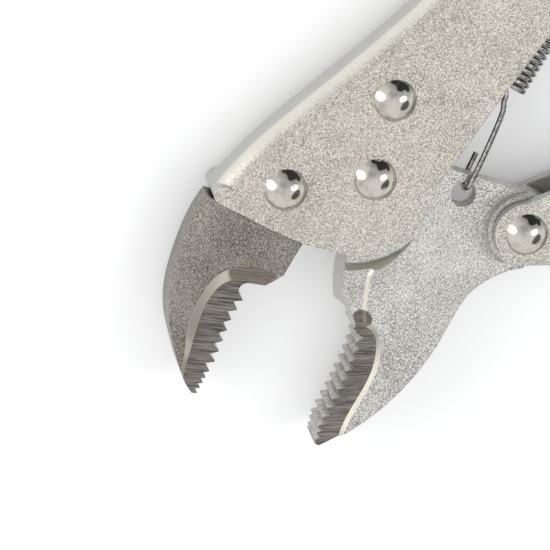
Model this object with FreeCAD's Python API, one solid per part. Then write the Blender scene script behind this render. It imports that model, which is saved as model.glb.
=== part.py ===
import FreeCAD, Part
import math
import os

from FreeCAD import Vector

# Locking pliers, lying on one side with the jaws open.
# Drawn in millimetres round the jaw pivot: +X runs to the handle ends, +Y to the spine of the
# upper handle, +Z out of the side that faces up.  At the end every piece is moved so that the
# whole tool lies on z = 0 with its box centred on x = y = 0.

# ---- driving sizes -------------------------------------------------------------------------
sheet = 2.2                 # steel sheet of both handles
channel_half = 6.75         # half the outside width of both handles
side_play = 0.05            # room between the sheet and the fixed jaw shank, each side
turning_play = 0.2          # room between the sheet and a piece that turns in it, each side
spine_round = 3.8           # outside rounding along both handle spines
jaw_half = 6.3              # half thickness of the jaws outside the handle
flat_half = 5.3             # half thickness across the ground flats beside the teeth
rim_half = 2.9              # half thickness at the fixed jaw's outer rim
throat_half = 5.8           # half thickness of the movable jaw at its throat
tail_half = 1.9             # half thickness of the movable jaw's tail

rivet_radius = 3.5          # shanks of the big rivets
dome_radius = 4.6           # heads of the big rivets
dome_height = 2.4
running_fit = 0.05          # radial clearance of everything that turns on a rivet
pin_radius = 1.6            # release lever pin
pin_head_radius = 2.8
pin_head_height = 0.9

rear_rivet = (15.6, 8.4)    # both rivets that hold the fixed jaw
front_rivet = (-13.7, 13.5)
hub_radius = 12.0           # movable jaw's hub, turning on the jaw pivot
hub_gap = 0.5               # between the hub and the fixed jaw's shank
handle_pivot = (11.5, -34.0)
boss_radius = 8.0           # round the handle pivot on the movable jaw's tail
spring_hole = (9.0, -18.8)
spring_hole_radius = 2.7

handle_angle = -37.4        # lower handle to the X axis, jaws open
ear_radius = 7.0
link_pivot = (38.3, 11.6)   # in the lower handle's own frame
lever_pivot = (85.0, 1.0)   # in the lower handle's own frame
link_rest = (100.0, 3.2)    # centre of the link's rounded end, jaws open
link_half = 3.0
link_eye = 5.6
link_end = 4.0

screw_line = 3.2            # Y of the adjusting screw's axis
screw_radius = 4.0
screw_tip = 108.6           # X of the tip, screwed right in
collar_start = 141.0
collar_end = 166.0
collar_radius = 6.6
knob_start = 170.0
knob_end = 189.0
knob_radius = 8.0

wire_radius = 0.6
coil_radius = 4.0           # outside of the spring's coil
coil_front = (31.7, -11.0)
coil_back = (52.4, -7.2)
spring_anchor = (60.0, -4.4)

tooth_depth = 0.64          # groove depth as a share of the pitch

inner_half = channel_half - sheet
shank_half = inner_half - side_play
turning_half = inner_half - turning_play


# ---- helpers -------------------------------------------------------------------------------
def vec(point, z=0.0):
    """A 3-D point over an (x, y) pair."""
    return Vector(point[0], point[1], z)


def outline(start, *moves):
    """Closed face from ("line", p), ("arc", via, p) and ("curve", p, p, ...) moves."""
    edges = []
    here = start
    for move in moves:
        if move[0] == "line":
            edges.append(Part.makeLine(vec(here), vec(move[1])))
        elif move[0] == "arc":
            edges.append(Part.Arc(vec(here), vec(move[1]), vec(move[2])).toShape())
        else:
            curve = Part.BSplineCurve()
            curve.interpolate([vec(p) for p in (here,) + move[1:]])
            edges.append(curve.toShape())
        here = move[-1]
    if math.dist(here, start) > 1e-6:
        edges.append(Part.makeLine(vec(here), vec(start)))
    return Part.Face(Part.Wire(edges))


def slab(face, low, high):
    """Face pushed out between two heights."""
    solid = face.extrude(Vector(0, 0, high - low))
    solid.translate(Vector(0, 0, low))
    return solid


def drum(centre, radius, low, high):
    """Upright cylinder round a point."""
    return Part.makeCylinder(radius, high - low, vec(centre, low))


def bar(radius, start, end, y=0.0):
    """Cylinder along X."""
    return Part.makeCylinder(radius, end - start, Vector(start, y, 0), Vector(1, 0, 0))


def dome(centre, radius, height, face):
    """Shallow button head standing on height face."""
    ball = (radius * radius + height * height) / (2 * height)
    head = Part.makeSphere(ball, vec(centre, face + height - ball))
    return head.common(drum(centre, radius + 1, face, face + height + 1))


def rivet(centre, shank, head, height, face):
    """Shank with a button head at both ends."""
    upper = dome(centre, head, height, face)
    lower = upper.mirror(vec(centre), Vector(0, 0, 1))
    return drum(centre, shank, -face, face).fuse([upper, lower]).removeSplitter()


def offset_point(origin, angle, point):
    """A point of a turned frame in the drawing's frame."""
    c = math.cos(math.radians(angle))
    s = math.sin(math.radians(angle))
    x = origin[0] + c * point[0] - s * point[1]
    y = origin[1] + s * point[0] + c * point[1]
    return (x, y)


def in_frame(shape, origin, angle):
    """Shape drawn in a turned frame, put where that frame is."""
    shape = shape.copy()
    shape.rotate(Vector(0, 0, 0), Vector(0, 0, 1), angle)
    shape.translate(vec(origin))
    return shape


def grooves(line, pitches, share, side):
    """V grooves across a jaw: tips follow a polyline, one groove per pitch, cut to one side."""
    runs = [math.dist(a, b) for a, b in zip(line, line[1:])]

    def at(distance):
        for a, b, run in zip(line, line[1:], runs):
            if distance <= run:
                f = distance / run
                return (a[0] + f * (b[0] - a[0]), a[1] + f * (b[1] - a[1]))
            distance -= run
        return line[-1]

    cutters = []
    walked = 0.0
    for pitch in pitches:
        a = at(walked + 0.12)
        b = at(walked + pitch - 0.12)
        run = math.dist(a, b)
        across = (-(b[1] - a[1]) / run * side, (b[0] - a[0]) / run * side)
        root = (
            (a[0] + b[0]) / 2 + across[0] * share * pitch,
            (a[1] + b[1]) / 2 + across[1] * share * pitch,
        )
        wide_a = (a[0] + (a[0] - root[0]), a[1] + (a[1] - root[1]))
        wide_b = (b[0] + (b[0] - root[0]), b[1] + (b[1] - root[1]))
        face = outline(root, ("line", wide_a), ("line", wide_b), ("line", root))
        cutters.append(slab(face, -10, 10))
        walked += pitch
    return cutters


def ground_pocket(floor, mouth, low, high):
    """Cutter with sloping walls between an outline at height low and one at height high."""
    lower = floor.OuterWire.copy()
    lower.translate(Vector(0, 0, low))
    upper = mouth.OuterWire.copy()
    upper.translate(Vector(0, 0, high))
    return Part.makeLoft([lower, upper], True, True)


def both_sides(shape):
    """Shape and its mirror image through the middle plane."""
    return [shape, shape.mirror(Vector(0, 0, 0), Vector(0, 0, 1))]


def tapered_band(start, end, profile):
    """Slab along start-end whose half thickness follows (distance to its right, half) pairs."""
    run = math.dist(start, end)
    along = Vector((end[0] - start[0]) / run, (end[1] - start[1]) / run, 0)
    right = Vector(along.y, -along.x, 0)
    origin = vec(start) - along * 60
    rim = [origin + right * s + Vector(0, 0, half) for s, half in profile]
    rim += [origin + right * s - Vector(0, 0, half) for s, half in reversed(profile)]
    return Part.Face(Part.makePolygon(rim + [rim[0]])).extrude(along * (run + 120))


def soften(solid, radius, chosen):
    """Fillet the edges that chosen() picks."""
    return solid.makeFillet(radius, [e for e in solid.Edges if chosen(e)])


# ---- places that follow from the sizes above ------------------------------------------------
link_centre = offset_point(handle_pivot, handle_angle, link_pivot)
lever_centre = offset_point(handle_pivot, handle_angle, lever_pivot)

# ---- upper handle: stamped channel, open towards the lower handle --------------------------
front_top = (-24.9, 22.6)
front_high = (-23.9, 17.8)
front_middle = (-22.5, 10.3)
front_bottom = (-20.4, 2.6)
spine_run = [(-22.4, 25.1), (-14.0, 25.0), (-8.0, 24.4), (0.0, 23.1), (12.0, 20.9), (35.0, 17.4),
    (70.0, 15.3)]
spine_run += [(110.0, 13.6), (150.0, 11.4)]


def make_upper_handle():
    body = slab(
        outline(
            front_top,
            ("line", front_high),
            ("line", front_middle),
            ("line", front_bottom),
            ("curve", (-17.2, -4.8), (-12.2, -11.4), (-6.1, -14.1), (-1.0, -14.2), (4.4, -12.5),
             (12.3, -10.9)),
            ("curve", (32.2, -8.9), (60.0, -6.8), (100.0, -4.8), (150.0, -3.6)),
            ("line", spine_run[-1]),
            ("curve",) + tuple(reversed(spine_run[:-1])),
            ("arc", (-24.5, 24.4), front_top),
        ),
        -channel_half,
        channel_half,
    )

    def on_spine(edge):
        box = edge.BoundBox
        flat = box.ZLength < 0.01
        return flat and box.XLength > 30 and box.YMin > 0

    body = soften(body, spine_round, on_spine)
    under = [(x, y - sheet) for x, y in spine_run]
    hollow = slab(
        outline(
            (-40.0, under[0][1] - 0.5),
            ("line", under[0]),
            ("curve",) + tuple(under[1:-1]) + ((collar_start, under[-1][1]),),
            ("line", (collar_start, -30.0)),
            ("line", (-40.0, -30.0)),
        ),
        -inner_half,
        inner_half,
    )
    body = body.cut(hollow)
    collar = bar(collar_radius, collar_start, collar_end, screw_line)
    collar = soften(collar, 0.8,
        lambda e: e.BoundBox.XMax > collar_end - 0.01 and e.BoundBox.XLength < 0.01)
    anchor_x = spring_anchor[0] + 1.2
    tongue = Part.makeBox(2.0, 7.0, inner_half + 1.9,
        Vector(anchor_x, spring_anchor[1] - 1.5, -inner_half - 0.4))
    body = body.fuse([collar, tongue])
    bores = [drum(p, rivet_radius, -20, 20) for p in (rear_rivet, front_rivet, (0, 0))]
    bores.append(bar(screw_radius + running_fit, collar_start - 5, collar_end + 5, screw_line))
    return body.cut(bores).removeSplitter()


# ---- fixed jaw: forged, its shank riveted into the upper handle ----------------------------
def make_fixed_jaw():
    gap = 0.15
    tooth_line = [(-38.2, 4.0), (-43.2, 3.1), (-52.4, -0.4), (-60.4, -2.1)]
    head = slab(
        outline(
            (front_top[0] - gap, front_top[1]),
            ("line", (-25.6, 24.7)),
            ("curve", (-29.7, 24.3), (-36.2, 22.4), (-42.4, 19.7), (-47.9, 16.5), (-52.6, 12.3),
             (-56.5, 7.2), (-60.1, 1.5), (-61.0, -1.2)),
            ("line", tooth_line[3]),
            ("line", tooth_line[2]),
            ("line", tooth_line[1]),
            ("line", tooth_line[0]),
            ("arc", (-37.3, 6.1), (-34.4, 5.3)),
            ("line", (-32.7, 2.4)),
            ("line", (-28.4, 1.1)),
            ("line", (-24.0, 2.0)),
            ("line", (front_bottom[0] - gap, front_bottom[1])),
            ("line", (front_middle[0] - gap, front_middle[1])),
            ("line", (front_high[0] - gap, front_high[1])),
        ),
        -jaw_half,
        jaw_half,
    )
    # full thickness beside the teeth, thinner towards the outer rim
    drop = jaw_half - rim_half
    fall = [(4, 0.0), (8, 0.2), (11, 0.48), (13, 0.76), (15, 1.0), (60, 1.0)]
    profile = [(-60, jaw_half)] + [(across, jaw_half - drop * share) for across, share in fall]
    band = tapered_band((-28.0, 10.5), (-58.0, 4.0), profile)
    head = head.common(band)
    floor = outline(
        (-33.8, -6.0),
        ("line", (-33.8, 3.4)),
        ("curve", (-34.3, 5.6), (-35.1, 7.6), (-37.2, 9.4), (-41.5, 10.0), (-48.1, 8.1),
         (-52.1, 6.2), (-56.3, 4.2)),
        ("line", (-66.0, -1.0)),
        ("line", (-66.0, -6.0)),
    )
    mouth = outline(
        (-27.4, -6.0),
        ("line", (-27.4, 1.4)),
        ("curve", (-28.8, 5.6), (-31.0, 9.3), (-35.4, 12.6), (-42.0, 13.2), (-49.2, 10.9),
         (-53.4, 7.9), (-57.3, 5.2)),
        ("line", (-66.0, 0.4)),
        ("line", (-66.0, -6.0)),
    )
    cutters = both_sides(ground_pocket(floor, mouth, flat_half, jaw_half + 0.3))
    cutters += grooves(tooth_line, [2.5] * 7 + [1.6] + [1.3] * 3, tooth_depth, -1)
    head = head.cut(cutters)

    clear = hub_radius + hub_gap
    lip = 2.4
    side = math.sqrt(clear * clear - lip * lip)
    rear = 3.8
    far = math.sqrt(clear * clear - rear * rear)
    top = sheet + gap
    roof = [(x, y - top) for x, y in spine_run]
    shank = slab(
        outline(
            (-26.5, roof[0][1] - 1.5),
            ("line", roof[0]),
            ("curve",) + tuple(roof[1:5]),
            ("line", (19.5, roof[4][1] - 1.7)),
            ("arc", (23.4, 11.0), (21.4, rear)),
            ("line", (far, rear)),
            ("arc", (0.0, clear), (-side, lip)),
            ("line", (-22.0, lip)),
            ("line", (-26.5, 6.0)),
        ),
        -shank_half,
        shank_half,
    )
    body = head.fuse(shank)
    bores = [drum(p, rivet_radius, -20, 20) for p in (rear_rivet, front_rivet)]
    return body.cut(bores).removeSplitter()


# ---- movable jaw: forged, with the hub, the tail and the handle pivot ----------------------
def make_movable_jaw():
    tooth_line = [(-28.4, -20.4), (-30.4, -22.1), (-35.0, -24.0), (-42.0, -26.2), (-49.4, -28.0),
        (-53.3, -30.2)]
    plan = outline(
        (-11.0, -4.8),
        ("line", (-18.8, -8.4)),
        ("line", (-26.0, -12.8)),
        ("arc", (-26.2, -16.2), (-28.1, -19.2)),
        ("line", tooth_line[0]),
        ("line", tooth_line[1]),
        ("line", tooth_line[2]),
        ("line", tooth_line[3]),
        ("line", tooth_line[4]),
        ("line", tooth_line[5]),
        ("line", (-53.0, -31.2)),
        ("curve", (-48.1, -33.3), (-41.0, -35.4), (-34.4, -36.4), (-26.8, -36.6), (-18.9, -35.7),
         (-12.8, -34.7),
         (-6.5, -34.3), (-1.0, -36.2), (4.9, -40.5)),
        ("line", handle_pivot),
        ("line", (19.0, -31.6)),
        ("line", (11.6, -13.0)),
        ("line", (9.4, -7.4)),
        ("line", (0.0, 0.0)),
    )
    # full thickness at the jaw, sloping down to the thin tail behind a straight ridge
    taper = [(-60, jaw_half), (0, jaw_half), (22, tail_half), (60, tail_half)]
    body = slab(plan, -jaw_half, jaw_half).common(tapered_band((-19.5, -36.0), (-14.2, -15.5), taper))

    # recess that lets the jaw turn under the handle's side plates
    recess_centre = (-2.7, 2.7)
    inner = 18.9
    outer = 20.6
    rise = jaw_half + 0.5 - turning_half
    spread = inner + (outer - inner) * rise / (jaw_half - turning_half)
    cutters = both_sides(Part.makeCone(inner, spread, rise, vec(recess_centre, turning_half)))
    # shallow step across the throat
    floor = outline(
        (-10.0, 0.0),
        ("line", (-12.9, -12.6)),
        ("line", (-17.3, -13.1)),
        ("line", (-23.5, -17.4)),
        ("line", (-25.5, -19.5)),
        ("line", (-32.0, -19.0)),
        ("line", (-32.0, -8.0)),
        ("line", (-20.0, 0.0)),
    )
    mouth = outline(
        (-10.0, 0.0),
        ("line", (-12.6, -13.6)),
        ("line", (-16.3, -14.2)),
        ("line", (-23.5, -18.9)),
        ("line", (-25.5, -21.2)),
        ("line", (-32.0, -21.0)),
        ("line", (-32.0, -8.0)),
        ("line", (-20.0, 0.0)),
    )
    cutters += both_sides(ground_pocket(floor, mouth, throat_half, jaw_half + 0.3))

    # drafted wall of the throat, widest at the middle plane
    floor = outline(
        (-15.5, -3.0),
        ("line", (-17.5, -7.6)),
        ("line", (-26.2, -12.8)),
        ("line", (-26.3, -16.0)),
        ("line", (-28.6, -19.4)),
        ("line", (-33.0, -18.0)),
        ("line", (-31.0, -8.0)),
        ("line", (-20.0, -2.0)),
    )
    mouth = outline(
        (-14.5, -3.0),
        ("line", (-16.2, -6.4)),
        ("line", (-23.3, -11.4)),
        ("line", (-24.4, -14.6)),
        ("line", (-27.2, -19.2)),
        ("line", (-33.0, -18.0)),
        ("line", (-31.0, -8.0)),
        ("line", (-20.0, -2.0)),
    )
    cutters += both_sides(ground_pocket(floor, mouth, 1.0, jaw_half + 0.3))

    # ground flat beside the teeth
    floor = outline(
        (-30.0, -12.0),
        ("line", (-27.8, -18.6)),
        ("curve", (-26.2, -21.0), (-26.2, -23.4), (-28.3, -26.0), (-33.5, -29.0), (-41.9, -31.0),
         (-48.4, -33.0)),
        ("line", (-58.0, -37.0)),
        ("line", (-58.0, -12.0)),
    )
    mouth = outline(
        (-28.0, -12.0),
        ("line", (-25.4, -17.2)),
        ("curve", (-24.6, -20.5), (-25.2, -23.8), (-27.5, -26.8), (-33.0, -29.9), (-41.6, -31.9),
         (-48.1, -33.9)),
        ("line", (-58.0, -38.2)),
        ("line", (-58.0, -12.0)),
    )
    cutters += both_sides(ground_pocket(floor, mouth, flat_half, jaw_half + 0.3))
    cutters += grooves(tooth_line, [2.3] * 10 + [1.6] * 3, tooth_depth, 1)
    body = body.cut(cutters)

    hub = drum((0, 0), hub_radius, -turning_half, turning_half)
    boss = drum(handle_pivot, boss_radius, -turning_half, turning_half)
    body = body.fuse([hub, boss])
    bores = [drum(p, rivet_radius + running_fit, -20, 20) for p in ((0, 0), handle_pivot)]
    bores.append(drum(spring_hole, spring_hole_radius, -20, 20))
    return body.cut(bores).removeSplitter()


# ---- lower handle: stamped channel, open towards the upper handle --------------------------
def make_lower_handle():
    web_start = 12.0
    ear = slab(
        outline(
            (0.97, 6.93),
            ("line", (web_start + 1.0, 8.62)),
            ("line", (web_start + 1.0, -10.32)),
            ("line", (-1.69, -6.79)),
            ("arc", (-ear_radius, 0.0), (0.97, 6.93)),
        ),
        -channel_half,
        channel_half,
    )
    grip = slab(
        outline(
            (web_start, 8.48),
            ("line", (20.0, 9.6)),
            ("curve", (28.0, 13.4), (38.3, 17.8), (48.0, 15.8), (62.0, 11.2), (90.0, 8.0),
             (120.0, 6.4), (150.0, 4.0)),
            ("line", (151.5, -7.6)),
            ("curve", (110.0, -11.2), (70.0, -13.8), (40.0, -14.4), (web_start, -10.07)),
        ),
        -channel_half,
        channel_half,
    )

    def on_spine(edge):
        box = edge.BoundBox
        return box.ZLength < 0.01 and box.XLength > 100 and box.YMax < 0

    grip = soften(grip, spine_round, on_spine)
    body = ear.fuse(grip)
    hollow = slab(
        outline(
            (-20.0, -40.0),
            ("line", (web_start + 0.2, -40.0)),
            ("line", (web_start + 0.2, sheet - 10.1)),
            ("curve", (40.0, sheet - 14.4), (70.0, sheet - 13.8), (110.0, sheet - 11.2),
             (160.0, sheet - 6.8)),
            ("line", (160.0, 30.0)),
            ("line", (-20.0, 30.0)),
        ),
        -inner_half,
        inner_half,
    )
    body = body.cut(hollow)
    bores = [drum((0, 0), rivet_radius, -20, 20), drum(link_pivot, rivet_radius, -20, 20)]
    bores.append(drum(lever_pivot, pin_radius, -20, 20))
    body = body.cut(bores).removeSplitter()
    return in_frame(body, handle_pivot, handle_angle)


# ---- toggle link: bar from the lower handle to the tip of the screw ------------------------
def make_toggle_link():
    reach = math.dist(link_centre, link_rest)
    body = slab(
        outline(
            (-1.0, link_eye - 0.1),
            ("arc", (-link_eye, 0.0), (-1.0, 0.1 - link_eye)),
            ("curve", (12.0, -8.4), (32.0, -9.8), (56.0, -7.0), (reach, -link_end)),
            ("arc", (reach + link_end, 0.0), (reach, link_end)),
            ("curve", (56.0, 1.0), (32.0, -1.8), (12.0, 0.8), (-1.0, link_eye - 0.1)),
        ),
        -link_half,
        link_half,
    )
    boss = drum((0, 0), link_eye, -turning_half, turning_half)
    body = body.fuse(boss)
    body = body.cut(drum((0, 0), rivet_radius + running_fit, -20, 20)).removeSplitter()
    rise = math.atan2(link_rest[1] - link_centre[1], link_rest[0] - link_centre[0])
    return in_frame(body, link_centre, math.degrees(rise))


# ---- release lever: folded sheet inside the lower handle -----------------------------------
def make_release_lever():
    fold = 1.5
    half = turning_half
    x = lever_pivot[0]
    body = slab(
        outline(
            (x - 27.0, 0.6),
            ("arc", (x - 28.4, 2.4), (x - 26.6, 4.2)),
            ("line", (x, 6.6)),
            ("curve", (x + 18.0, 7.4), (x + 34.0, 12.2), (x + 47.0, 17.4)),
            ("arc", (x + 49.2, 16.4), (x + 48.4, 14.2)),
            ("curve", (x + 34.0, 7.4), (x + 18.0, 0.6), (x + 6.0, -3.2)),
            ("line", (x - 6.0, -3.4)),
        ),
        -half,
        half,
    )
    hollow = slab(
        outline(
            (x - 20.0, 4.7 - fold),
            ("line", (x, 6.6 - fold)),
            ("curve", (x + 18.0, 7.4 - fold), (x + 34.0, 12.2 - fold), (x + 60.0, 22.0 - fold)),
            ("line", (x + 60.0, -20.0)),
            ("line", (x - 20.0, -20.0)),
        ),
        fold - half,
        half - fold,
    )
    body = body.cut([hollow, drum(lever_pivot, pin_radius + running_fit, -20, 20)]).removeSplitter()
    return in_frame(body, handle_pivot, handle_angle)


# ---- adjusting screw and its knob ----------------------------------------------------------
def make_adjusting_screw():
    rod = bar(screw_radius, screw_tip, knob_start + 12.0, screw_line)
    return soften(rod, 1.2, lambda e: e.BoundBox.XLength < 0.01 and e.BoundBox.XMax < screw_tip + 0.01)


def make_screw_knob():
    knob = bar(knob_radius, knob_start, knob_end, screw_line)
    knob = soften(knob, 1.2, lambda e: e.BoundBox.XLength < 0.01)
    groove = bar(knob_radius + 1, knob_start + 3.0, knob_start + 4.4, screw_line)
    groove = groove.cut(bar(knob_radius - 0.8, knob_start, knob_end, screw_line))
    recess = bar(3.2, knob_end - 5.0, knob_end + 1.0, screw_line)
    bore = bar(screw_radius + running_fit, knob_start - 1.0, knob_start + 12.3, screw_line)
    return knob.cut([groove, recess, bore]).removeSplitter()


# ---- spring: coil with a hook through the jaw's tail and a loop on the handle's tongue -----
def wire(points):
    """Round wire along smooth points."""
    curve = Part.BSplineCurve()
    curve.interpolate([Vector(*p) for p in points])
    path = Part.Wire(curve.toShape())
    start = Vector(*points[0])
    ahead = curve.tangent(curve.FirstParameter)[0]
    ring = Part.Wire(Part.Circle(start, ahead, wire_radius).toShape())
    return path.makePipeShell([ring], True, True)


def make_jaw_spring():
    along = Vector(coil_back[0] - coil_front[0], coil_back[1] - coil_front[1], 0)
    length = along.Length
    along.normalize()
    start = vec(coil_front)
    coil = Part.makeCylinder(coil_radius, length, start, along)
    coil = coil.cut(Part.makeCylinder(coil_radius - 2 * wire_radius, length + 4, start - along * 2,
        along))
    mid = coil_radius - wire_radius
    front = start + Vector(0, 0, mid) + along * wire_radius
    hx, hy = spring_hole
    lift = tail_half + wire_radius + 0.5
    ux, uy = (0.956, 0.292)
    hook = wire(
        [
            (front.x, front.y, front.z),
            (front.x - 1.0, front.y + 0.4, front.z - 0.1),
            (hx + ux * 21.6, hy + uy * 21.6 + 1.4, lift + 0.5),
            (hx + ux * 20.6, hy + uy * 20.6 + 0.5, lift + 0.5),
            (hx + ux * 10.0, hy + uy * 10.0, lift + 0.3),
            (hx + ux * 4.2, hy + uy * 4.2, lift + 0.2),
            (hx + ux * 2.4, hy + uy * 2.4, lift - 0.2),
            (hx + ux * 1.3, hy + uy * 1.3, lift - 1.6),
            (hx + ux * 1.0, hy + uy * 1.0, 0.0),
            (hx + ux * 1.3, hy + uy * 1.3, 1.6 - lift),
            (hx + ux * 2.4, hy + uy * 2.4, 0.2 - lift),
            (hx + ux * 4.2, hy + uy * 4.0, -lift - 0.1),
            (hx + ux * 8.6, hy + uy * 8.0, -lift - 0.2),
        ]
    )
    back = vec(coil_back) + Vector(0, 0, mid) - along * wire_radius
    ax, ay = spring_anchor
    loop = wire(
        [
            (back.x, back.y, back.z),
            (back.x + 2.6, back.y + 0.6, mid - 0.1),
            (ax - 0.6, ay + 1.2, 3.0),
            (ax + 2.4, ay + 1.6, 2.9),
            (ax + 4.2, ay + 1.7, 1.6),
            (ax + 4.4, ay + 1.7, -2.2),
        ]
    )
    return coil.fuse([hook, loop]).removeSplitter()


# ---- all pieces ----------------------------------------------------------------------------
pieces = {
    "upper_handle": make_upper_handle(),
    "fixed_jaw": make_fixed_jaw(),
    "fixed_jaw_rivets": Part.makeCompound(
        [rivet(p, rivet_radius, dome_radius, dome_height, channel_half) for p in (rear_rivet,
            front_rivet)]
    ),
    "jaw_pivot_rivet": rivet((0, 0), rivet_radius, dome_radius, dome_height, channel_half),
    "movable_jaw": make_movable_jaw(),
    "handle_pivot_rivet": rivet(handle_pivot, rivet_radius, dome_radius, dome_height, channel_half),
    "lower_handle": make_lower_handle(),
    "link_pivot_rivet": rivet(link_centre, rivet_radius, dome_radius, dome_height, channel_half),
    "toggle_link": make_toggle_link(),
    "release_lever": make_release_lever(),
    "release_lever_pin": rivet(lever_centre, pin_radius, pin_head_radius, pin_head_height,
        channel_half),
    "adjusting_screw": make_adjusting_screw(),
    "screw_knob": make_screw_knob(),
    "jaw_spring": make_jaw_spring(),
}

whole = FreeCAD.BoundBox()
for piece in pieces.values():
    whole.add(piece.optimalBoundingBox())
shift = Vector(-(whole.XMin + whole.XMax) / 2, -(whole.YMin + whole.YMax) / 2, -whole.ZMin)

os.makedirs("parts", exist_ok=True)
for name, piece in pieces.items():
    piece = piece.copy()
    piece.translate(shift)
    piece.exportStep("parts/" + name + ".step")

print("box", round(whole.XLength, 3), round(whole.YLength, 3), round(whole.ZLength, 3))
print("jaw pivot at", round(shift.x, 3), round(shift.y, 3), round(shift.z, 3))
print("handle pivot", handle_pivot, "link pivot", link_centre, "lever pivot", lever_centre)
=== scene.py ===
import logging
import math
from dataclasses import dataclass, field
from enum import Enum
from typing import Any, Callable, Iterable, Sequence, Union

import bpy
from mathutils import Matrix, Vector


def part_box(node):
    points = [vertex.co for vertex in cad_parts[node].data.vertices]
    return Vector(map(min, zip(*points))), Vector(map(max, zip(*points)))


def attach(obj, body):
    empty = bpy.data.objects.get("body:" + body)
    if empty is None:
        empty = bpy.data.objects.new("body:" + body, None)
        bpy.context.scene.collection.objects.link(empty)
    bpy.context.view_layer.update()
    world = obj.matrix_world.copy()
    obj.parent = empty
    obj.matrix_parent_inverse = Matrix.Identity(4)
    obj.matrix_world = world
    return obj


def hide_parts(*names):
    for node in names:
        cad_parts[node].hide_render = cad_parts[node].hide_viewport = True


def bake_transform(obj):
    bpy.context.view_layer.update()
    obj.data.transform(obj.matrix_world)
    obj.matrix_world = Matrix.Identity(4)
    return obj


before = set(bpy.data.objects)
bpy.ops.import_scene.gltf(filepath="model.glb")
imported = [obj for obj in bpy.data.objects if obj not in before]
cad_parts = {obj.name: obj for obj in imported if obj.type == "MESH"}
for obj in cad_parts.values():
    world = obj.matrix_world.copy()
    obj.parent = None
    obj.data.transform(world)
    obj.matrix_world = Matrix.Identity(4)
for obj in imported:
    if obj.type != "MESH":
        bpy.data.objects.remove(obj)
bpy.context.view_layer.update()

log = logging.getLogger("locking_pliers")

MM = 0.001
AO_SAMPLES = 6
BEVEL_SAMPLES = 4
CUT_TOLERANCE = 1e-6
Point = tuple[float, float]
Direction = tuple[float, float, float]


# ---- the tool's own frame ------------------------------------------------------------------
def centre_of(node: str) -> Vector:
    """Middle of a CAD node's box.

    Args:
        node: name of the CAD node.

    Returns:
        The middle, in metres.
    """
    low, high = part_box(node)
    return (low + high) / 2


@dataclass(frozen=True)
class ToolFrame:
    """Millimetres round the jaw pivot: X to the handle ends, Y to the upper spine, Z up."""

    pivot: Vector

    def at(self, x: float, y: float, z: float = 0.0) -> Vector:
        """Row-frame place of a point given in millimetres round the jaw pivot.

        Args:
            x: towards the handle ends.
            y: towards the upper handle's spine.
            z: up from the tool's middle plane.

        Returns:
            The point in metres.
        """
        return self.pivot + Vector((x, y, z)) * MM


# ---- shader arithmetic ---------------------------------------------------------------------
@dataclass(frozen=True)
class Signal:
    """A value socket that takes part in Python arithmetic."""

    sheet: "NodeSheet"
    socket: bpy.types.NodeSocket

    def _math(self, operation: str, *terms: "Number") -> "Signal":
        """Adds one Math node.

        Args:
            operation: the Math node's operation.
            terms: its inputs in order.

        Returns:
            The node's result.
        """
        return self.sheet.node("ShaderNodeMath", {"operation": operation}, dict(enumerate(terms)))

    def __add__(self, other: "Number") -> "Signal":
        """Adds.

        Args:
            other: what is added.

        Returns:
            The sum.
        """
        return self._math("ADD", self, other)

    def __radd__(self, other: "Number") -> "Signal":
        """Adds.

        Args:
            other: what comes first.

        Returns:
            The sum.
        """
        return self._math("ADD", other, self)

    def __sub__(self, other: "Number") -> "Signal":
        """Subtracts.

        Args:
            other: what is taken off.

        Returns:
            The difference.
        """
        return self._math("SUBTRACT", self, other)

    def __rsub__(self, other: "Number") -> "Signal":
        """Subtracts this from a value.

        Args:
            other: what this is taken off.

        Returns:
            The difference.
        """
        return self._math("SUBTRACT", other, self)

    def __mul__(self, other: "Number") -> "Signal":
        """Multiplies.

        Args:
            other: the factor.

        Returns:
            The product.
        """
        return self._math("MULTIPLY", self, other)

    def __abs__(self) -> "Signal":
        """Takes off the sign.

        Returns:
            The size.
        """
        return self._math("ABSOLUTE", self)

    def highest(self, other: "Number") -> "Signal":
        """Larger of two values.

        Args:
            other: the value to compare with.

        Returns:
            The larger of the two.
        """
        return self._math("MAXIMUM", self, other)

    def lowest(self, other: "Number") -> "Signal":
        """Smaller of two values.

        Args:
            other: the value to compare with.

        Returns:
            The smaller of the two.
        """
        return self._math("MINIMUM", self, other)

    def step(self, low: float, high: float) -> "Signal":
        """Smooth ramp from 0 at low to 1 at high.

        Args:
            low: value that gives 0.
            high: value that gives 1; it may be the smaller of the two.

        Returns:
            The ramp.
        """
        settings = {"interpolation_type": "SMOOTHSTEP", "clamp": True}
        ends = {1: low, 2: high, 3: 0.0, 4: 1.0} if high >= low else {1: high, 2: low, 3: 1.0, 4: 0.0}
        return self.sheet.node("ShaderNodeMapRange", settings, {0: self, **ends})


Number = Union[Signal, float]
Colour = tuple[float, float, float]


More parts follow.
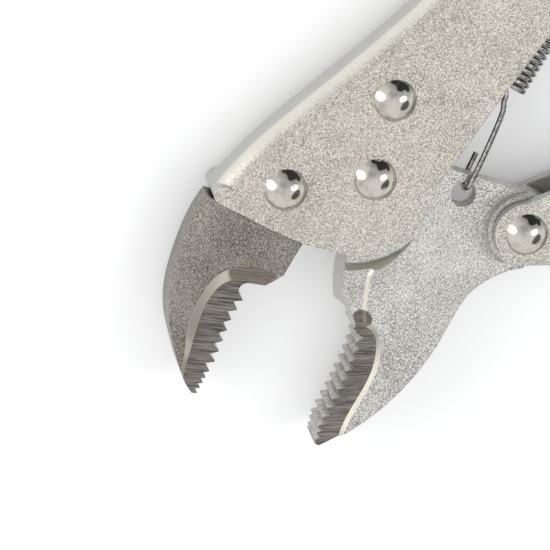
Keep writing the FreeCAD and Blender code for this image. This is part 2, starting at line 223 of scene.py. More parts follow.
class NodeSheet:
    """Node tree of one material or world."""

    def __init__(self, owner: Union[bpy.types.Material, bpy.types.World]) -> None:
        """Empties the owner's node tree.

        Args:
            owner: material or world whose tree is filled.
        """
        owner.use_nodes = True
        self.tree = owner.node_tree
        self.tree.nodes.clear()

    def node(
        self,
        kind: str,
        settings: dict[str, Any] | None = None,
        inputs: dict[Union[int, str], Any] | None = None,
        output: Union[int, str] = 0,
    ) -> Signal:
        """Adds a node.

        Args:
            kind: node type.
            settings: attributes set before its sockets.
            inputs: values, colours or signals by socket name or number.
            output: the socket to give back.

        Returns:
            The chosen output; its socket is None on a node without outputs.
        """
        made = self.tree.nodes.new(kind)
        for name, value in (settings or {}).items():
            setattr(made, name, value)
        for name, value in (inputs or {}).items():
            if isinstance(value, Signal):
                self.tree.links.new(value.socket, made.inputs[name])
            else:
                made.inputs[name].default_value = value
        return Signal(self, made.outputs[output] if len(made.outputs) else None)

    def place(self) -> Signal:
        """Gives the coordinates that every finish is laid on.

        Returns:
            Object coordinates.
        """
        return self.node("ShaderNodeTexCoord", output="Object")

    def parts(self, vector: Signal) -> tuple[Signal, Signal, Signal]:
        """X, Y and Z of a vector.

        Args:
            vector: the vector to take apart.

        Returns:
            Its three values.
        """
        split = self.tree.nodes.new("ShaderNodeSeparateXYZ")
        self.tree.links.new(vector.socket, split.inputs[0])
        return tuple(Signal(self, socket) for socket in split.outputs)

    def stretched(self, vector: Signal, scale: Sequence[float], turn: float = 0.0) -> Signal:
        """Coordinates turned in the tool's plane and then scaled.

        Args:
            vector: coordinates to map.
            scale: factors along X, Y and Z.
            turn: angle about Z, in degrees.

        Returns:
            The mapped coordinates.
        """
        settings = {"vector_type": "POINT"}
        rotation = (0.0, 0.0, math.radians(turn))
        turned = self.node("ShaderNodeMapping", settings, {0: vector, "Rotation": rotation})
        return self.node("ShaderNodeMapping", settings, {0: turned, "Scale": tuple(scale)})

    def noise(self, vector: Signal, scale: float, detail: float = 2.0, roughness: float = 0.5) -> Signal:
        """Cloudy pattern between 0 and 1.

        Args:
            vector: coordinates.
            scale: features per metre.
            detail: octaves.
            roughness: weight of the finer octaves.

        Returns:
            The pattern.
        """
        inputs = {0: vector, "Scale": scale, "Detail": detail, "Roughness": roughness}
        return self.node("ShaderNodeTexNoise", {}, inputs)

    def shade(self, distance: float) -> Signal:
        """Ambient occlusion: 0 deep in a corner and 1 in the open.

        Args:
            distance: how far it looks, in metres.

        Returns:
            The openness.
        """
        settings = {"samples": AO_SAMPLES}
        return self.node("ShaderNodeAmbientOcclusion", settings, {"Distance": distance}, output="AO")

    def relief(self, height: Signal, strength: float, distance: float, edge: float = 0.0) -> Signal:
        """Bump from a height.

        Args:
            height: the height.
            strength: how much of it shows.
            distance: depth of the relief in metres.
            edge: radius to which sharp edges look rounded, in metres; 0 leaves them.

        Returns:
            The bumped normal.
        """
        inputs = {"Strength": strength, "Distance": distance, "Height": height}
        if edge:
            inputs["Normal"] = self.node("ShaderNodeBevel", {"samples": BEVEL_SAMPLES}, {"Radius": edge})
        return self.node("ShaderNodeBump", {}, inputs)

    def blend(self, mask: Number, low: Any, high: Any) -> Signal:
        """Mix of two colours.

        Args:
            mask: 0 gives low and 1 gives high.
            low: colour or signal.
            high: colour or signal.

        Returns:
            The mixed colour.
        """
        sides = [(*c, 1.0) if isinstance(c, tuple) and len(c) == 3 else c for c in (low, high)]
        settings = {"data_type": "RGBA"}
        return self.node("ShaderNodeMix", settings, {0: mask, 6: sides[0], 7: sides[1]}, output=2)


def new_sheet(name: str) -> tuple[bpy.types.Material, NodeSheet]:
    """Makes a material with an empty tree.

    Args:
        name: the material's name.

    Returns:
        The material and its sheet.
    """
    material = bpy.data.materials.new(name)
    return material, NodeSheet(material)


def close_sheet(sheet: NodeSheet, **sockets: Any) -> None:
    """Ends a metal's tree with its shader and output.

    Args:
        sheet: the tree.
        sockets: the shader's inputs, with underscores for spaces.
    """
    inputs = {name.replace("_", " "): value for name, value in sockets.items()}
    shader = sheet.node("ShaderNodeBsdfPrincipled", {}, inputs)
    sheet.node("ShaderNodeOutputMaterial", {}, {"Surface": shader})


# ---- finishes ------------------------------------------------------------------------------
@dataclass(frozen=True)
class BlastedNickel:
    """Nickel plate over sand-blasted steel: satin, with a fine sparkling grain."""

    name: str
    light: Colour = (0.88, 0.832, 0.755)
    dark: Colour = (0.27, 0.25, 0.222)
    grain: float = 5200.0
    relief: float = 0.00012
    # Painted highlight: the sheet's rounded folds are painted this lighter cream, where they also carry
    # less grain.
    spine: Colour = (0.80, 0.77, 0.69)
    # Painted shade: blue-grey for the cut edges and the spine's back, which face sideways.
    shaded: Colour = (0.40, 0.41, 0.43)
    # Near-black painted shade for corners and seams.
    painted_crevice_shade: Colour = (0.055, 0.055, 0.05)
    reach: float = 0.006
    roughness: float = 0.42
    edge: float = 0.0004
    bump: float = 0.75

    def grain_signal(self, sheet: NodeSheet, place: Signal) -> Signal:
        """Blasted grain between 0 and 1.

        Args:
            sheet: the tree.
            place: coordinates.

        Returns:
            The grain.
        """
        fine = sheet.noise(place, self.grain, 2.0, 0.6)
        broad = sheet.noise(place, self.grain * 0.37, 1.0)
        return fine * 0.86 + broad * 0.14

    def material(self) -> bpy.types.Material:
        """Builds the finish.

        Returns:
            The material.
        """
        material, sheet = new_sheet(self.name)
        place = sheet.place()
        grain = self.grain_signal(sheet, place)
        patches = sheet.noise(place, 90.0, 3.0)
        across = abs(sheet.parts(sheet.node("ShaderNodeNewGeometry", output="Normal"))[2])
        rolled = across.step(0.96, 0.6)  # the rounded folds of the sheet
        rim = across.step(0.20, 0.02)  # cut edges and the spine's back
        slanted = sheet.stretched(place, (60.0, 180.0, 180.0), 35.0)
        scuffs = sheet.noise(slanted, 1.0, 4.0, 0.7).step(0.60, 0.70)
        speck = (grain + (patches - 0.5) * 0.10 - scuffs * 0.05).step(0.40, 0.60)
        colour = sheet.blend(speck, self.dark, self.light)
        # Painted highlight on the rounded folds, which are partly just smoother metal with less grain.
        smooth = sheet.blend(rolled * 0.75, colour, self.spine)
        # Painted shade on the sideways-facing cut edges and the spine's back.
        smooth = sheet.blend(rim * 0.6, smooth, self.shaded)
        # Painted shade: corners and seams that the ambient occlusion finds are painted near black.
        smooth = sheet.blend(sheet.shade(self.reach).step(0.10, 0.62), self.painted_crevice_shade, smooth)
        height = grain * (1.0 - rolled * 0.7)
        close_sheet(
            sheet,
            Base_Color=smooth,
            Metallic=1.0,
            Roughness=self.roughness + (patches - 0.5) * 0.12 - rolled * 0.06,
            Normal=sheet.relief(height, self.bump, self.relief, self.edge),
        )
        return material


@dataclass(frozen=True)
class JawSteel(BlastedNickel):
    """Blasted nickel with flats and teeth ground bare beside the mouth."""

    middle: float = 0.0
    flat_half: float = 5.3 * MM
    mouth: tuple[Point, Point] = ((0.0, 0.0), (1.0, 0.0))
    mouth_sign: float = 1.0
    flat_start: float = 0.0
    wall_start: float = 0.0
    recess_half: float = 4.4 * MM
    grind_turn: float = 0.0
    ground_light: Colour = (0.30, 0.272, 0.243)
    ground_dark: Colour = (0.075, 0.067, 0.06)
    # Light colour of the ground walls: their bare metal, lightened as a painted highlight.
    run_out_and_highlight: Colour = (0.70, 0.66, 0.57)
    # Dark brown of the heat stain, also painted into crevices as painted shade.
    heat_stain_and_crevice_shade: Colour = (0.10, 0.078, 0.058)
    burnt_spot: Point = (0.0, 0.0)
    burnt_radius: float = 1.0 * MM
    stain_all: float = 0.0
    wall_tilt: float = 0.962
    wall_reach: float = 11.4 * MM
    tooth: Colour = (0.66, 0.645, 0.62)
    crevice: float = 0.0016

    def material(self) -> bpy.types.Material:
        """Builds the finish.

        Returns:
            The material.
        """
        material, sheet = new_sheet(self.name)
        place = sheet.place()
        x, y, z = sheet.parts(place)
        grain = self.grain_signal(sheet, place)
        patches = sheet.noise(place, 110.0, 3.0)
        across = abs(sheet.parts(sheet.node("ShaderNodeNewGeometry", output="Normal"))[2])

        # Where the point lies: beside the mouth line, off the middle plane, near the stain.
        (ax, ay), (bx, by) = self.mouth
        run = math.hypot(bx - ax, by - ay)
        side = ((x - ax) * (by - ay) - (y - ay) * (bx - ax)) * (self.mouth_sign / run)
        level = abs(z - self.middle)
        off_x = x - self.burnt_spot[0]
        off_y = y - self.burnt_spot[1]
        reach = (off_x * off_x + off_y * off_y) * (1.0 / self.burnt_radius**2)

        # Ground flat beside the teeth, the teeth themselves, and the flat's sloping run-out.
        flat = across.step(0.99, 0.996) * level.step(self.flat_half + 0.0001, self.flat_half + 0.00005)
        flat = flat * x.step(self.flat_start + 0.0005, self.flat_start)
        toothed = across.step(0.6, 0.3) * side.step(-0.0002, 0.0004)
        wall = across.step(self.wall_tilt + 0.002, self.wall_tilt - 0.004)
        wall = wall * side.step(-self.wall_reach - 0.0003, -self.wall_reach)
        wall = wall * across.step(0.45, 0.6) * level.step(self.recess_half, self.recess_half + 0.0001)
        wall = wall * x.step(self.wall_start + 0.0005, self.wall_start)

        # Grinding lines, blasted grain and the stain left by the heat of grinding.
        along = sheet.stretched(place, (170.0, 3300.0, 3300.0), self.grind_turn)
        lines = sheet.noise(along, 1.0, 3.0, 0.65)
        ground = sheet.blend(lines.step(0.3, 0.7), self.ground_dark, self.ground_light)
        teeth = sheet.blend(lines.step(0.35, 0.6), self.ground_light, self.tooth)
        speck = (grain + (patches - 0.5) * 0.12).step(0.41, 0.59)
        stain = reach.step(1.25, 0.8) * (0.25 + grain * 0.5 + lines * 0.7).lowest(1.0)
        # Wall colour: a painted highlight over the bare run-out, with the real heat stain near its spot.
        wall_highlight_and_stain = sheet.blend(stain, self.run_out_and_highlight, self.heat_stain_and_crevice_shade)

        colour = sheet.blend(speck, self.dark, self.light)
        # The sloping walls are painted light as a painted highlight, with the heat stain near its spot.
        colour = sheet.blend(wall * 0.85, colour, wall_highlight_and_stain)
        colour = sheet.blend(stain * across.step(0.9, 0.96) * self.stain_all, colour, self.heat_stain_and_crevice_shade)
        colour = sheet.blend(flat, colour, ground)
        colour = sheet.blend(toothed, colour, teeth)
        # Painted shade: tooth grooves, seams and corners found by ambient occlusion are painted the heat
        # stain's dark brown.
        colour = sheet.blend(sheet.shade(self.crevice).step(0.08, 0.55), self.heat_stain_and_crevice_shade, colour)
        bare = flat.highest(toothed).highest(wall * 0.8)
        height = grain * (1.0 - bare) + lines * bare * 0.35
        grainy = (self.roughness + (patches - 0.5) * 0.1) * (1.0 - bare)
        close_sheet(
            sheet,
            Base_Color=colour,
            Metallic=1.0,
            Roughness=grainy + bare * 0.34 - toothed * 0.12,
            Normal=sheet.relief(height, self.bump, self.relief, self.edge),
        )
        return material


@dataclass(frozen=True)
class PolishedNickel:
    """Tumbled, bright rivet heads."""

    name: str
    light: Colour = (0.62, 0.585, 0.53)
    dark: Colour = (0.45, 0.42, 0.375)
    roughness: float = 0.07

    def material(self) -> bpy.types.Material:
        """Builds the finish.

        Returns:
            The material.
        """
        material, sheet = new_sheet(self.name)
        place = sheet.place()
        haze = sheet.noise(place, 420.0, 4.0, 0.6)
        pits = sheet.noise(place, 1500.0, 2.0).step(0.66, 0.74)
        close_sheet(
            sheet,
            Base_Color=sheet.blend(haze.step(0.3, 0.6) * (1.0 - pits * 0.5), self.dark, self.light),
            Metallic=1.0,
            Roughness=self.roughness + haze * 0.08 + pits * 0.2,
            Normal=sheet.relief(haze * 0.5 - pits, 0.3, 0.0001),
        )
        return material


@dataclass(frozen=True)
class DrawnWire:
    """Spring wire with faint drawing marks."""

    name: str
    light: Colour = (0.50, 0.48, 0.46)
    dark: Colour = (0.22, 0.21, 0.20)

    def material(self) -> bpy.types.Material:
        """Builds the finish.

        Returns:
            The material.
        """
        material, sheet = new_sheet(self.name)
        place = sheet.place()
        marks = sheet.noise(place, 1400.0, 3.0, 0.6)
        close_sheet(
            sheet,
            Base_Color=sheet.blend(marks.step(0.35, 0.65), self.dark, self.light),
            Metallic=1.0,
            Roughness=0.18 + marks * 0.10,
            Normal=sheet.relief(marks, 0.12, 0.00003),
        )
        return material


@dataclass(frozen=True)
class StudioPaper:
    """Matt white paper under the tool."""

    name: str
    colour: Colour = (0.90, 0.90, 0.90)
    glow: float = 0.22

    def material(self) -> bpy.types.Material:
        """Builds the finish.

        Returns:
            The material.
        """
        material, sheet = new_sheet(self.name)
        close_sheet(
            sheet,
            Base_Color=(*self.colour, 1.0),
            Roughness=0.9,
            Emission_Color=(1.0, 1.0, 1.0, 1.0),
            Emission_Strength=self.glow,
        )
        return material


def dress(node: str, material: bpy.types.Material) -> None:
    """Gives a CAD node its finish.

    Args:
        node: name of the CAD node.
        material: the finish.
    """
    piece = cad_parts[node]
    if not piece.material_slots:
        piece.data.materials.append(material)
    for slot in piece.material_slots:
        slot.material = material


# ---- mesh helpers --------------------------------------------------------------------------
def start_clean() -> None:
    """Leaves edit mode and deselects everything."""
    if bpy.context.object and bpy.context.object.mode != "OBJECT":
        bpy.ops.object.mode_set(mode="OBJECT")
    bpy.ops.object.select_all(action="DESELECT")


def name_piece(name: str) -> bpy.types.Object:
    """Names the active object and its mesh.

    Args:
        name: the new name.

    Returns:
        The object.
    """
    piece = bpy.context.object
    piece.name = name
    piece.data.name = name
    return piece


def settle(piece: bpy.types.Object, turn: Matrix) -> None:
    """Applies modifiers and puts the piece's place in its mesh.

    Args:
        piece: the object to finish.
        turn: where the mesh goes in the row frame.
    """
    start_clean()
    bpy.context.view_layer.objects.active = piece
    piece.select_set(True)
    for modifier in list(piece.modifiers):
        bpy.ops.object.modifier_apply(modifier=modifier.name)
    piece.data.transform(turn @ piece.matrix_world)
    piece.matrix_world = Matrix.Identity(4)


def pick_faces(piece: bpy.types.Object, wanted: Callable[[bpy.types.MeshPolygon], bool]) -> None:
    """In edit mode, selects the faces that a test picks.

    Args:
        piece: object in edit mode.
        wanted: test on a polygon.
    """
    bpy.ops.mesh.select_all(action="DESELECT")
    bpy.ops.object.mode_set(mode="OBJECT")
    for polygon in piece.data.polygons:
        polygon.select = bool(wanted(polygon))
    bpy.ops.object.mode_set(mode="EDIT")


# ---- pieces made here ----------------------------------------------------------------------
@dataclass
class AdjustingScrew:
    """Threaded rod and its knurled knob."""

    tool: ToolFrame
    finish: bpy.types.Material
    axis_y: float = 3.2
    tip: float = 108.6
    rod_end: float = 176.0
    radius: float = 4.0
    pitch: float = 1.25
    knob_start: float = 170.0
    knob_end: float = 189.0
    knob_radius: float = 8.0
    thread_depth: float = 0.62
    crest: Point = (0.44, 0.58)
    thread_steps: int = 32
    weld: float = 0.00001
    knob_sides: int = 80
    neck: float = 1.4
    groove: Point = (3.0, 4.4)
    groove_depth: float = 0.8
    knurl: Point = (5.6, 17.6)
    knurl_depth: float = 0.35
    knurl_gap: float = 0.0001
    knurl_face: float = 2e-6
    end_wall: float = 1.0
    recess_wall: float = 3.6
    recess_depth: float = 5.0
    soft_edge: float = 0.25

    def along(self, x: float) -> Matrix:
        """Turn that lays a mesh's Z along the screw.

        Args:
            x: where its origin goes along the screw, in millimetres.

        Returns:
            The matrix.
        """
        return Matrix.Translation(self.tool.at(x, self.axis_y)) @ Matrix.Rotation(math.pi / 2, 4, "Y")

    def thread(self) -> bpy.types.Object:
        """Models the rod with a true helical thread.

        Returns:
            The rod.
        """
        start_clean()
        bpy.ops.mesh.primitive_plane_add(size=self.pitch * MM)
        rod = name_piece("adjusting_screw_thread")
        bpy.ops.object.mode_set(mode="EDIT")
        bpy.ops.mesh.delete(type="ONLY_FACE")
        bpy.ops.mesh.select_all(action="DESELECT")
        bpy.ops.object.mode_set(mode="OBJECT")
        rod.data.edges[0].select = True
        chain_start, chain_end = rod.data.edges[0].vertices
        bpy.ops.object.mode_set(mode="EDIT")
        bpy.ops.mesh.delete(type="EDGE_FACE")
        bpy.ops.object.mode_set(mode="OBJECT")
        order = self._chain(rod, chain_start)
        root = (self.radius - self.thread_depth * self.pitch) * MM
        crest = self.radius * MM
        p = self.pitch * MM
        rise, fall = self.crest
        profile = ((root, 0.0), (crest, rise * p), (crest, fall * p), (root, p))
        for index, (r, z) in zip(order, profile):
            rod.data.vertices[index].co = (r, 0.0, z)
        screw = rod.modifiers.new("thread", "SCREW")
        screw.axis = "Z"
        screw.angle = 2 * math.pi
        screw.screw_offset = p
        screw.iterations = math.ceil((self.rod_end - self.tip) / self.pitch) + 2
        screw.steps = self.thread_steps
        screw.render_steps = self.thread_steps
        screw.use_merge_vertices = True
        screw.merge_threshold = self.weld
        start_clean()
        bpy.context.view_layer.objects.active = rod
        rod.select_set(True)
        bpy.ops.object.modifier_apply(modifier=screw.name)
        bpy.ops.object.mode_set(mode="EDIT")
        bpy.ops.mesh.select_all(action="SELECT")
        bpy.ops.mesh.remove_doubles(threshold=self.weld)
        length = (self.rod_end - self.tip) * MM
        for height, outward in ((p, -1.0), (p + length, 1.0)):
            bpy.ops.mesh.select_all(action="SELECT")
            bpy.ops.mesh.bisect(
                plane_co=(0, 0, height),
                plane_no=(0, 0, outward),
                use_fill=True,
                clear_outer=True,
                threshold=CUT_TOLERANCE,
            )
        bpy.ops.mesh.select_all(action="SELECT")
        bpy.ops.mesh.normals_make_consistent(inside=False)
        bpy.ops.object.mode_set(mode="OBJECT")
        settle(rod, self.along(self.tip - self.pitch))
        bpy.ops.object.shade_smooth_by_angle(angle=math.radians(35))
        return rod

    @staticmethod
    def _chain(rod: bpy.types.Object, first: int) -> list[int]:
        """Vertices of an open chain in order.

        Args:
            rod: object whose mesh is the chain.
            first: one end of it.

        Returns:
            Vertex numbers from end to end.
        """
        order = [first]
        while len(order) < len(rod.data.vertices):
            for edge in rod.data.edges:
                a, b = edge.vertices
                if order[-1] in (a, b) and (b if a == order[-1] else a) not in order:
                    order.append(b if a == order[-1] else a)
                    break
        return order

    @staticmethod
    def on_band(face: bpy.types.MeshPolygon, band: Point) -> bool:
        """Tells whether a face is on the knob's side within a band.

        Args:
            face: the face.
            band: the band's two heights in millimetres.

        Returns:
            True if it is.
        """
        low, high = band
        return low * MM < face.center.z < high * MM and abs(face.normal.z) < 0.5

    def on_ridge_gap(self, face: bpy.types.MeshPolygon) -> bool:
        """Tells whether a face is one of the knurling's sunk strips.

        Args:
            face: the face.

        Returns:
            True if it is.
        """
        side = 2 * math.pi / self.knob_sides
        even = int(math.atan2(face.center.y, face.center.x) // side) % 2 == 0
        return face.area > self.knurl_face and self.on_band(face, self.knurl) and even

    def knob(self) -> bpy.types.Object:
        """Models the knurled knob with its neck groove and key recess.

        Returns:
            The knob.
        """
        start_clean()
        height = (self.knob_end - self.knob_start) * MM
        bpy.ops.mesh.primitive_cylinder_add(
            vertices=self.knob_sides,
            radius=self.knob_radius * MM,
            depth=height,
            location=(0, 0, height / 2),
        )
        knob = name_piece("screw_knob_knurled")
        bpy.ops.object.transform_apply(location=True)
        bpy.ops.object.mode_set(mode="EDIT")
        for cut in (self.neck, *self.groove, *self.knurl):
            bpy.ops.mesh.select_all(action="SELECT")
            bpy.ops.mesh.bisect(plane_co=(0, 0, cut * MM), plane_no=(0, 0, 1), threshold=CUT_TOLERANCE)
        pick_faces(knob, lambda f: self.on_band(f, self.groove))
        sunk = {"value": -self.groove_depth * MM}
        bpy.ops.mesh.extrude_region_shrink_fatten(TRANSFORM_OT_shrink_fatten=sunk)
        pick_faces(knob, lambda f: self.on_band(f, self.knurl))
        bpy.ops.mesh.inset(thickness=self.knurl_gap, use_individual=True)
        pick_faces(knob, self.on_ridge_gap)
        bpy.ops.transform.shrink_fatten(value=-self.knurl_depth * MM)
        pick_faces(knob, lambda f: f.normal.z > 0.9 and f.center.z > height - 0.0001)
        bpy.ops.mesh.inset(thickness=self.end_wall * MM)
        bpy.ops.mesh.inset(thickness=self.recess_wall * MM)
        bpy.ops.mesh.extrude_region_move(TRANSFORM_OT_translate={"value": (0, 0, -self.recess_depth * MM)})
        bpy.ops.object.mode_set(mode="OBJECT")
        bevel = knob.modifiers.new("soft edges", "BEVEL")
        bevel.width = self.soft_edge * MM
        bevel.segments = 2
        bevel.limit_method = "ANGLE"
        bevel.angle_limit = math.radians(50)
        settle(knob, self.along(self.knob_start))
        bpy.ops.object.shade_smooth_by_angle(angle=math.radians(30))
        return knob

    def build(self) -> list[bpy.types.Object]:
        """Builds, dresses and hangs both pieces.

        Returns:
            The rod and the knob.
        """
        rod = self.thread()
        knob = self.knob()
        places = ((rod, "screw_body", "adjusting_screw"), (knob, "knob_body", "screw_knob"))
        for piece, body, node in places:
            piece.data.materials.clear()
            piece.data.materials.append(self.finish)
            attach(piece, body)
            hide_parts(node)
        return [rod, knob]


@dataclass
class JawSpring:
    """Tension spring between the upper handle and the movable jaw's tail."""

    tool: ToolFrame
    finish: bpy.types.Material
    wire: float = 0.6
    coil: float = 4.0
    front: Point = (31.7, -11.0)
    back: Point = (52.4, -7.2)
    hole: Point = (9.0, -18.8)
    anchor: Point = (60.0, -4.4)
    tail_half: float = 1.9
    turns: int = 14
    steps: int = 14
    lead: Point = (0.956, 0.292)

    def route(self) -> list[Vector]:
        """Points of the wire from the hook's end to the loop's end.

        Returns:
            Control points in metres.
        """
        mid = self.coil - self.wire
        lift = self.tail_half + self.wire + 0.5
        hx, hy = self.hole
        ux, uy = self.lead
        fx, fy = self.front
        bx, by = self.back
        # Each row: steps from the hole along the lead in X and in Y, a shift in Y, and the height.
        hook = (
            (8.6, 8.0, 0.0, -lift - 0.2),
            (4.2, 4.0, 0.0, -lift - 0.1),
            (2.4, 2.4, 0.0, 0.2 - lift),
            (1.3, 1.3, 0.0, 1.6 - lift),
            (1.0, 1.0, 0.0, 0.0),
            (1.3, 1.3, 0.0, lift - 1.6),
            (2.4, 2.4, 0.0, lift - 0.2),
            (4.2, 4.2, 0.0, lift + 0.2),
            (10.0, 10.0, 0.0, lift + 0.3),
            (20.4, 20.4, 0.4, lift + 0.5),
            (21.6, 21.6, 1.4, lift + 0.5),
        )
        points = [(hx + ux * a, hy + uy * b + shift, z) for a, b, shift, z in hook]
        points.append((fx - 0.4, fy + 0.4, mid))
        along = Vector((bx - fx, by - fy, 0.0))
        length = along.length
        along.normalize()
        side = Vector((-along.y, along.x, 0.0))
        count = self.turns * self.steps
        for k in range(1, count):
            angle = 2 * math.pi * k / self.steps
            ahead = self.wire + (length - 2 * self.wire) * k / count
            spot = Vector((fx, fy, 0.0)) + along * ahead
            spot += side * (math.sin(angle) * mid)
            spot.z = math.cos(angle) * mid
            points.append(tuple(spot))
        ax, ay = self.anchor
        points += [
            (bx + 0.8, by + 0.2, mid),
            (bx + 2.6, by + 0.6, mid - 0.1),
            (ax - 0.6, ay + 1.2, 3.0),
            (ax + 2.4, ay + 1.6, 2.9),
            (ax + 4.2, ay + 1.7, 1.6),
            (ax + 4.4, ay + 1.7, -2.2),
        ]
        return [self.tool.at(*p) for p in points]

    def build(self) -> bpy.types.Object:
        """Builds and dresses the spring.

        Returns:
            The spring.
        """
        start_clean()
        bpy.ops.curve.primitive_nurbs_path_add()
        spring = name_piece("jaw_spring_wire")
        curve = spring.data
        curve.splines.clear()
        points = self.route()
        line = curve.splines.new("NURBS")
        line.points.add(len(points) - 1)
        for knot, spot in zip(line.points, points):
            knot.co = (*spot, 1.0)
        line.order_u = 3
        line.use_endpoint_u = True
        curve.resolution_u = 3
        curve.bevel_depth = self.wire * MM
        curve.bevel_resolution = 4
        curve.use_fill_caps = True
        bpy.ops.object.convert(target="MESH")
        spring = bpy.context.object
        settle(spring, Matrix.Identity(4))
        bpy.ops.object.shade_smooth_by_angle(angle=math.radians(50))
        spring.data.materials.clear()
        spring.data.materials.append(self.finish)
        self.tool.at(*self.front)
        self.tool.at(*self.back)
        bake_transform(spring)
        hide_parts("jaw_spring")
        return spring


@dataclass
class SolidPieces:
    """Pieces whose shape comes from the solids and whose surface is finished here."""

    tool: ToolFrame

    def row(self, point: Point) -> Point:
        """Row-frame X and Y of a point.

        Args:
            point: millimetres round the jaw pivot.

        Returns:
            The same place in metres.
        """
        spot = self.tool.at(*point)
        return (spot.x, spot.y)

    def dress_all(self) -> list[str]:
        """Dresses every carried-over node.

        Returns:
            The names of the nodes.
        """
        middle = self.tool.pivot.z
        handle = BlastedNickel("handle_nickel").material()
        inner = BlastedNickel("inner_nickel", light=(0.60, 0.58, 0.55), dark=(0.34, 0.32, 0.30)).material()
        fixed = JawSteel(
            "fixed_jaw_steel",
            wall_tilt=0.981,
            light=(0.44, 0.405, 0.362),
            dark=(0.085, 0.077, 0.068),
            burnt_spot=self.row((-31.4, 7.0)),
            burnt_radius=5.4 * MM,
            wall_start=self.row((-24.0, 0.0))[0],
            middle=middle,
            mouth=(self.row((-28.0, 6.0)), self.row((-62.0, -0.3))),
            mouth_sign=-1.0,
            flat_start=self.row((-24.0, 0.0))[0],
            grind_turn=57.0,
        ).material()
        movable = JawSteel(
            "movable_jaw_steel",
            light=(0.89, 0.862, 0.815),
            dark=(0.22, 0.21, 0.196),
            stain_all=1.0,
            burnt_spot=self.row((-25.4, -18.9)),
            burnt_radius=2.2 * MM,
            wall_start=self.row((-11.0, 0.0))[0],
            middle=middle,
            mouth=(self.row((-26.0, -21.5)), self.row((-54.0, -31.0))),
            mouth_sign=1.0,
            flat_start=self.row((-24.0, 0.0))[0],
            grind_turn=50.0,
        ).material()
        polished = PolishedNickel("rivet_nickel").material()
        finishes = {
            "upper_handle": handle,
            "lower_handle": handle,
            "fixed_jaw": fixed,
            "movable_jaw": movable,
            "toggle_link": inner,
            "release_lever": inner,
            "fixed_jaw_rivets": polished,
            "jaw_pivot_rivet": polished,
            "handle_pivot_rivet": polished,
            "link_pivot_rivet": polished,
            "release_lever_pin": polished,
        }
        for node, material in finishes.items():
            dress(node, material)
        return list(finishes)


# ---- studio --------------------------------------------------------------------------------
class LampSpot(Enum):
    """Where each soft light stands: offsets right, up and towards the camera, in metres."""

    RIGHT = (0.52, -0.10, 0.48)
    LEFT = (-0.62, 0.02, 0.42)


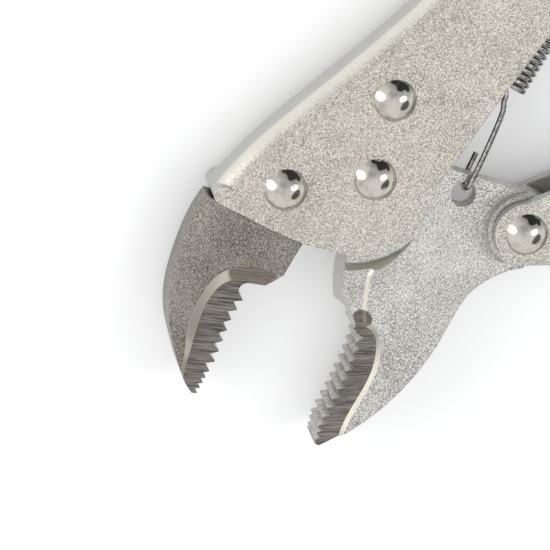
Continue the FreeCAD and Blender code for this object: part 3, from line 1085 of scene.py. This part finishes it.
@dataclass
class Studio:
    """White paper, soft lights and the camera."""

    tool: ToolFrame
    tilt: float = 21.0
    lean: Point = (-0.42, 0.907)
    spin: float = 50.0
    aim: tuple[float, float, float] = (-29.4, 2.8, 6.75)
    seen: float = 117.0
    distance: float = 0.75
    sensor: float = 36.0
    clip: Point = (0.05, 20.0)
    paper_size: float = 6.0
    paper_cells: int = 8
    paper_drop: float = 0.0002
    flag: Direction = (0.50, 0.72, 0.34)
    gloom: Direction = (0.45, 0.80, 0.40)
    wedge: Direction = (0.78, -0.60, 0.22)
    lens: Direction = (0.0, 0.15, 1.0)
    fan: tuple[Direction, Direction] = ((-0.80, 0.60, 0.0), (0.0, 0.0, 1.0))
    axes: Matrix = field(init=False)

    def __post_init__(self) -> None:
        """Works out the camera's axes."""
        spin = math.radians(self.spin)
        right = Vector((math.cos(spin), -math.sin(spin), 0.0))
        up = Vector((math.sin(spin), math.cos(spin), 0.0))
        lean = (right * self.lean[0] + up * self.lean[1]).normalized()
        turn = Matrix.Rotation(math.radians(self.tilt), 3, Vector((0, 0, 1)).cross(lean))
        self.axes = Matrix((turn @ right, turn @ up, turn @ Vector((0, 0, 1)))).transposed()

    def looking(self, spot: Vector) -> Matrix:
        """Camera-like matrix at a spot.

        Args:
            spot: where it stands.

        Returns:
            The matrix, looking as the camera does.
        """
        return Matrix.Translation(spot) @ self.axes.to_4x4()

    def camera(self) -> None:
        """Adds the camera."""
        start_clean()
        bpy.ops.object.camera_add()
        camera = bpy.context.object
        camera.name = "camera"
        camera.data.sensor_width = self.sensor
        camera.data.lens = self.sensor * self.distance / (self.seen * MM)
        camera.data.clip_start, camera.data.clip_end = self.clip
        aim = self.tool.at(*self.aim)
        camera.matrix_world = self.looking(aim + self.axes.col[2] * self.distance)
        bpy.context.scene.camera = camera

    def light(self, name: str, stand: LampSpot, size: Point, power: float) -> None:
        """Adds one soft box aimed at the head.

        Args:
            name: the lamp's name.
            stand: where it stands.
            size: width and height in metres.
            power: watts.
        """
        aim = self.tool.at(*self.aim)
        start_clean()
        bpy.ops.object.light_add(type="AREA")
        lamp = bpy.context.object
        lamp.name = name
        lamp.data.shape = "ELLIPSE"
        lamp.data.size, lamp.data.size_y = size
        lamp.data.energy = power
        spot = aim + self.axes @ Vector(stand.value)
        lamp.rotation_mode = "QUATERNION"
        lamp.location = spot
        lamp.rotation_quaternion = (aim - spot).to_track_quat("-Z", "Y")

    def paper(self) -> None:
        """Adds the sheet of paper the tool lies on."""
        start_clean()
        bpy.ops.mesh.primitive_grid_add(
            x_subdivisions=self.paper_cells,
            y_subdivisions=self.paper_cells,
            size=self.paper_size,
            location=(0, 0, -self.paper_drop),
        )
        sheet = name_piece("studio_paper")
        sheet.data.materials.append(StudioPaper("paper").material())

    def agreement(self, sheet: NodeSheet, place: Signal, direction: Direction) -> Signal:
        """How far the looked-at direction agrees with a given one.

        Args:
            sheet: the world's tree.
            place: the looked-at direction.
            direction: right, up and towards the camera.

        Returns:
            The cosine of the angle between them.
        """
        axis = (self.axes @ Vector(direction)).normalized()
        inputs = {0: place, 1: tuple(axis)}
        return sheet.node("ShaderNodeVectorMath", {"operation": "DOT_PRODUCT"}, inputs, output=1)

    def sky(self) -> None:
        """Fills the room with soft light that is darker round a flag, a wedge and the camera."""
        world = bpy.data.worlds.new("studio")
        bpy.context.scene.world = world
        sheet = NodeSheet(world)
        place = sheet.node("ShaderNodeTexCoord", output="Generated")
        across, ahead = (self.agreement(sheet, place, direction) for direction in self.fan)
        around = sheet.node("ShaderNodeMath", {"operation": "ARCTAN2"}, {0: across, 1: ahead})
        rays = sheet.node("ShaderNodeMath", {"operation": "COSINE"}, {0: around * 6.0 + 0.8})
        flag = (self.agreement(sheet, place, self.flag) + rays * 0.06).step(0.80, 0.85)
        gloom = self.agreement(sheet, place, self.gloom).step(0.35, 0.95)
        wedge = (self.agreement(sheet, place, self.wedge) + rays * 0.03).step(0.94, 0.97)
        lens = self.agreement(sheet, place, self.lens).step(0.90, 0.99)
        level = 1.0 - (gloom * 0.55).highest(flag * 0.95).highest(wedge * 0.85).highest(lens * 0.40)
        back = sheet.node("ShaderNodeBackground", {}, {"Color": (0.98, 0.99, 1.0, 1.0), "Strength": level})
        sheet.node("ShaderNodeOutputWorld", {}, {"Surface": back})

    def build(self) -> None:
        """Sets up the whole studio."""
        bpy.context.scene.view_settings.view_transform = "Standard"
        self.camera()
        self.paper()
        self.sky()
        self.light("right_box", LampSpot.RIGHT, (0.30, 0.44), 0.50)
        self.light("left_box", LampSpot.LEFT, (0.50, 0.75), 1.25)


def main() -> None:
    """Builds the tool and the studio."""
    logging.basicConfig(level=logging.INFO, format="%(name)s: %(message)s")
    tool = ToolFrame(centre_of("jaw_pivot_rivet"))
    for node in SolidPieces(tool).dress_all():
        log.info("dressed %s", node)
    threaded = BlastedNickel(
        "screw_nickel", light=(0.70, 0.68, 0.65), dark=(0.45, 0.43, 0.40), relief=0.00006
    )
    for piece in AdjustingScrew(tool, threaded.material()).build():
        log.info("made %s, %d faces", piece.name, len(piece.data.polygons))
    spring = JawSpring(tool, DrawnWire("spring_wire").material()).build()
    log.info("made %s, %d faces", spring.name, len(spring.data.polygons))
    Studio(tool).build()


if __name__ == "__main__":
    main()
